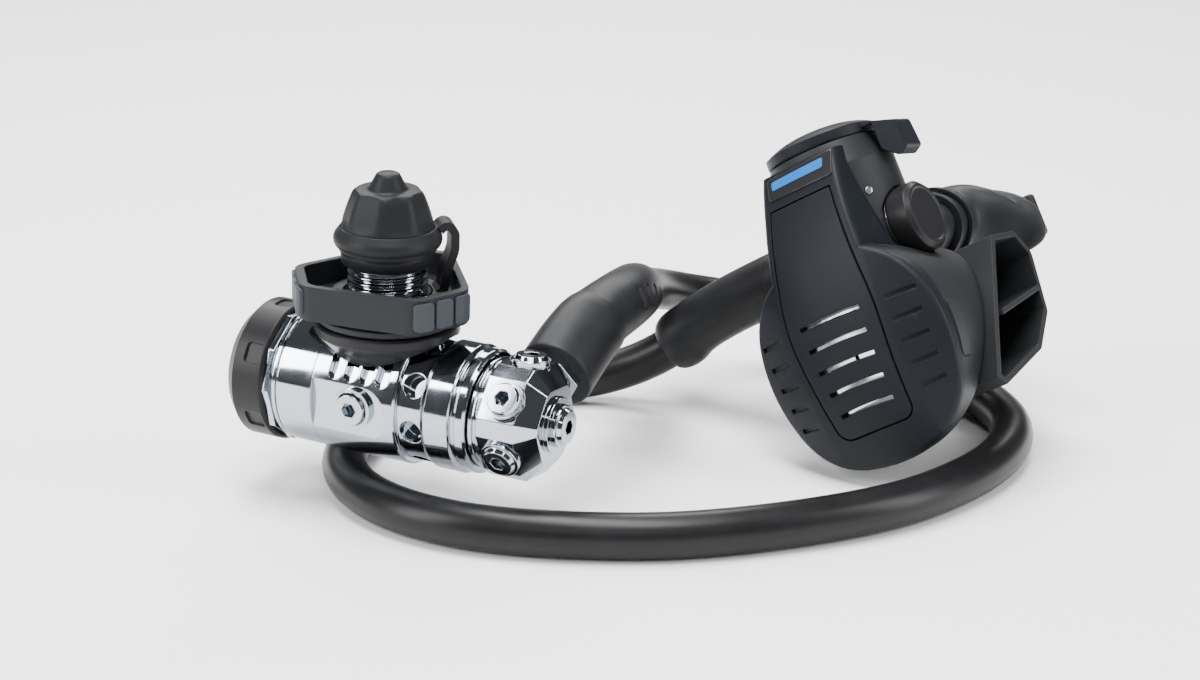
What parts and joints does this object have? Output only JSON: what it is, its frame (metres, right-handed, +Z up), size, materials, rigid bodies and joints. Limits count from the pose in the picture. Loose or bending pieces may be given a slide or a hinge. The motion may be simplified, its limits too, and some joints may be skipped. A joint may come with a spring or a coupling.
{
  "type": "scuba regulator set",
  "caption": "Diaphragm first stage with a DIN handwheel inlet and swivel turret, joined by a low-pressure hose to a demand second stage with purge panel and mouthpiece.",
  "frame": {"origin": "on the ground, under the middle of the two stages", "axes": "+Z up, +Y away from the front, +X from the first stage towards the second stage"},
  "size_m": [0.2498, 0.17, 0.1018],
  "materials": {
    "chromed_brass": "polished chrome over brass",
    "black_moulding": "fine matte moulding",
    "bright_ring": "machined and polished",
    "dark_wheel": "satin over-moulding",
    "grip_rubber": "soft pads",
    "black_rubber": "smooth extruded rubber",
    "mouth_silicone": "soft moulded silicone",
    "machined_brass": "turned",
    "bright_steel": "bright stainless",
    "inner_plastic": "moulded",
    "case_nylon": "fine-grained charcoal moulding",
    "cover_nylon": "fine-grained blue-black moulding"
  },
  "bodies": {
    "hose_line": {"turret": "chromed_brass", "lp_plugs": "chromed_brass", "axial_plug": "chromed_brass", "hose_fitting": "chromed_brass", "first_sleeve": "black_rubber", "hose": "black_rubber", "second_sleeve": "black_rubber", "hose_nut": "bright_steel"},
    "first_stage": {"first_stage_body": "chromed_brass", "spring_housing": "chromed_brass", "end_cap": "black_moulding", "outer_diaphragm": "black_rubber", "adjusting_ring": "machined_brass", "main_spring": "bright_steel", "main_diaphragm": "black_rubber", "swivel_o_rings": "black_rubber", "swivel_bolt": "chromed_brass", "valve_seat": "machined_brass", "poppet_spring": "bright_steel", "balance_plug": "machined_brass", "gauge_plugs": "chromed_brass", "inlet_saddle": "black_moulding", "din_stem": "chromed_brass", "din_o_ring": "black_rubber", "inlet_filter": "bright_steel", "filter_clip": "bright_steel", "cap_tether": "black_rubber"},
    "pressure_stack": {"load_transmitter": "inner_plastic", "spring_pad": "machined_brass", "lifter": "inner_plastic"},
    "first_valve": {"valve_poppet": "inner_plastic"},
    "din_wheel": {"handwheel": "dark_wheel", "threaded_coupling": "chromed_brass", "grip_pads": "grip_rubber"},
    "din_cap": {"dust_cap": "black_moulding"},
    "second_stage": {"case": "case_nylon", "front_cover": "cover_nylon", "clamp_ring": "case_nylon", "diaphragm": "mouth_silicone", "valve_barrel": "machined_brass", "seat_orifice": "machined_brass", "valve_spring": "bright_steel", "purge_spring": "bright_steel", "lock_pins": "chromed_brass", "cover_clips": "case_nylon", "lever_pin": "bright_steel", "exhaust_tee": "case_nylon", "exhaust_valve": "mouth_silicone", "mouthpiece": "mouth_silicone", "mouthpiece_tie": "case_nylon"},
    "purge": {"purge_panel": "cover_nylon", "backing_plate": "bright_steel"},
    "sensing_disc": {"diaphragm_disc": "bright_steel"},
    "lever": {"demand_lever": "bright_steel"},
    "demand_valve": {"demand_poppet": "inner_plastic"},
    "effort_adjuster": {"effort_knob": "chromed_brass", "knob_ring": "bright_ring"},
    "effort_screw": {"adjust_spindle": "machined_brass"},
    "airflow_lever": {"venturi_lever": "cover_nylon", "venturi_vane": "case_nylon"}
  },
  "joints": [
    {"name": "turret_swivel", "type": "hinge", "parent": "hose_line", "child": "first_stage", "pos_m": [-0.07811, -0.04177, 0.03311], "axis": [0.8982, -0.4381, -0.0367], "range_deg": [-60, 60]},
    {"name": "pressure_move", "type": "slide", "parent": "first_stage", "child": "pressure_stack", "axis": [0.8982, -0.4381, -0.0367], "range_m": [0, 0.0005], "stiffness_N_per_m": 20000, "deforming": ["main_spring", "main_diaphragm", "outer_diaphragm"]},
    {"name": "first_valve_lift", "type": "slide", "parent": "first_stage", "child": "first_valve", "axis": [0.8982, -0.4381, -0.0367], "range_m": [0, 0.0005], "deforming": ["poppet_spring"]},
    {"name": "wheel_turn", "type": "hinge", "parent": "first_stage", "child": "din_wheel", "pos_m": [-0.07729, -0.04217, 0.05809], "axis": [0.033, -0.016, 0.9993], "continuous": true},
    {"name": "cap_lift", "type": "slide", "parent": "first_stage", "child": "din_cap", "axis": [0.033, -0.016, 0.9993], "range_m": [0, 0.045], "deforming": ["cap_tether"]},
    {"name": "second_stage_swivel", "type": "hinge", "parent": "hose_line", "child": "second_stage", "pos_m": [0.06069, 0.00493, 0.06261], "axis": [0.7381, -0.4411, 0.5105], "range_deg": [-10, 15]},
    {"name": "purge_press", "type": "hinge", "parent": "second_stage", "child": "purge", "pos_m": [0.04319, -0.00674, 0.07782], "axis": [0.7381, -0.4411, 0.5105], "range_deg": [0, 4], "stiffness_Nm_per_rad": 2, "deforming": ["purge_spring", "diaphragm"]},
    {"name": "disc_travel", "type": "slide", "parent": "second_stage", "child": "sensing_disc", "axis": [0.5769, 0.8049, -0.1386], "range_m": [0, 0.0032]},
    {"name": "lever_swing", "type": "hinge", "parent": "second_stage", "child": "lever", "pos_m": [0.0623, -0.00273, 0.05366], "axis": [0.7381, -0.4411, 0.5105], "range_deg": [0, 7.5]},
    {"name": "demand_valve_lift", "type": "slide", "parent": "second_stage", "child": "demand_valve", "axis": [0.7381, -0.4411, 0.5105], "range_m": [0, 0.00105], "deforming": ["valve_spring"]},
    {"name": "effort_turn", "type": "hinge", "parent": "second_stage", "child": "effort_adjuster", "pos_m": [0.07545, -0.00389, 0.07282], "axis": [0.7381, -0.4411, 0.5105], "range_deg": [0, 540]},
    {"name": "effort_screw_in", "type": "slide", "parent": "second_stage", "child": "effort_screw", "axis": [-0.7381, 0.4411, -0.5105], "range_m": [0, 0.0016]},
    {"name": "airflow_swing", "type": "hinge", "parent": "second_stage", "child": "airflow_lever", "pos_m": [0.05019, 0.01683, 0.08807], "axis": [-0.3498, 0.3968, 0.8486], "range_deg": [-10, 45]}
  ],
  "couplings": [
    {"joint": "first_valve_lift", "follows": "pressure_move", "ratio": 1},
    {"joint": "disc_travel", "follows": "purge_press", "m_per_rad": 0.0444},
    {"joint": "lever_swing", "follows": "purge_press", "ratio": 1.85},
    {"joint": "demand_valve_lift", "follows": "purge_press", "m_per_rad": 0.0143},
    {"joint": "effort_screw_in", "follows": "effort_turn", "m_per_rad": 0.000159}
  ]
}
